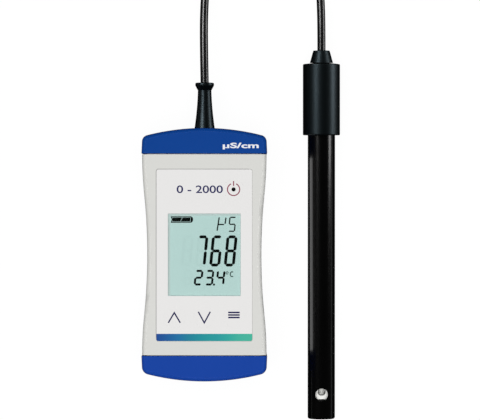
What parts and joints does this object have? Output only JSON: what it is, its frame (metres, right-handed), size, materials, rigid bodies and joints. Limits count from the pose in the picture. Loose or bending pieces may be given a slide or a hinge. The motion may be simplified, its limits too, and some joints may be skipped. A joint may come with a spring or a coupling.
{
  "type": "handheld conductivity meter with probe",
  "caption": "Handheld conductivity meter with display, foil keys and blue end caps, wired to a slim black measuring probe.",
  "frame": {"origin": "centre of the meter's back face, on the surface that the set lies on", "axes": "+X across the meter towards the probe, +Y along the meter and the probe towards their cable ends, +Z out of the meter's display"},
  "size_m": [0.0868, 0.2439, 0.028],
  "materials": {
    "housing": "fine satin texture, light grey",
    "cap": "satin, blue",
    "foil": "fine matt polyester foil, printed",
    "window": "clear, glossy",
    "lcd": "reflective liquid crystal display",
    "lcd_frame": "white moulded plastic",
    "contact_rubber": "striped conductive rubber",
    "plunger": "natural white plastic",
    "snap_dome": "sprung stainless steel",
    "circuit_board": "green solder resist",
    "component": "moulded epoxy",
    "connector": "cream nylon",
    "wire": "insulated stranded leads",
    "screw": "zinc plated steel",
    "contact": "nickel plated spring steel",
    "battery": "plain wrapped cell",
    "seal": "black rubber",
    "boot": "black rubber, satin",
    "cable": "black cable jacket, satin",
    "tie": "black plastic strap",
    "crimp": "crimped sleeve",
    "probe_body": "smooth black plastic",
    "probe_grip": "black plastic, satin",
    "potting": "cast epoxy resin",
    "graphite": "graphite",
    "cell_black": "cast epoxy resin",
    "cell_white": "white plastic",
    "sensor_steel": "stainless steel tube"
  },
  "bodies": {
    "instrument": {"rear_shell": "housing", "front_shell": "housing", "shell_seal": "seal", "top_cap": "cap", "bottom_cap": "cap", "front_foil": "foil", "display_window": "window", "circuit_board": "circuit_board", "controller_chip": "component", "board_components": "component", "buzzer": "component", "cable_header": "connector", "lead_plug": "connector", "lead_wires": "wire", "lcd_glass": "lcd", "lcd_frame": "lcd_frame", "contact_strips": "contact_rubber", "battery_cells": "battery", "battery_contacts": "contact", "battery_springs": "contact", "battery_cover": "housing", "cover_seal": "seal", "housing_screws": "screw", "cap_screws": "screw", "cover_screws": "screw", "board_screws": "screw", "cable_boot": "boot", "cable_tail": "cable", "cable_crimp": "crimp", "cable_meter_run": "cable", "cable_probe_run": "cable", "cable_coil": "cable", "coil_tie": "tie", "probe_shaft": "probe_body", "probe_head": "probe_grip", "shaft_seal": "seal", "probe_cable_bush": "boot", "probe_cable_tail": "cable", "potting_plug": "potting", "electrode_rings": "graphite", "cell_spacers": "cell_black", "cell_sleeve": "cell_white", "chamber_plug": "cell_black", "temperature_sensor": "sensor_steel", "probe_leads": "wire", "snap_dome_up": "snap_dome", "snap_dome_down": "snap_dome", "snap_dome_menu": "snap_dome", "snap_dome_power": "snap_dome"},
    "up_key": {"key_up": "foil", "plunger_up": "plunger"},
    "down_key": {"key_down": "foil", "plunger_down": "plunger"},
    "menu_key": {"key_menu": "foil", "plunger_menu": "plunger"},
    "power_key": {"key_power": "foil", "plunger_power": "plunger"}
  },
  "joints": [
    {"name": "up_key_press", "type": "slide", "parent": "instrument", "child": "up_key", "axis": [0, 0, -1], "range_m": [0, 0.00035], "stiffness_N_per_m": 3000, "springref_m": -0.0003, "deforming": ["snap_dome_up"]},
    {"name": "down_key_press", "type": "slide", "parent": "instrument", "child": "down_key", "axis": [0, 0, -1], "range_m": [0, 0.00035], "stiffness_N_per_m": 3000, "springref_m": -0.0003, "deforming": ["snap_dome_down"]},
    {"name": "menu_key_press", "type": "slide", "parent": "instrument", "child": "menu_key", "axis": [0, 0, -1], "range_m": [0, 0.00035], "stiffness_N_per_m": 3000, "springref_m": -0.0003, "deforming": ["snap_dome_menu"]},
    {"name": "power_key_press", "type": "slide", "parent": "instrument", "child": "power_key", "axis": [0, 0, -1], "range_m": [0, 0.00035], "stiffness_N_per_m": 3000, "springref_m": -0.0003, "deforming": ["snap_dome_power"]}
  ]
}
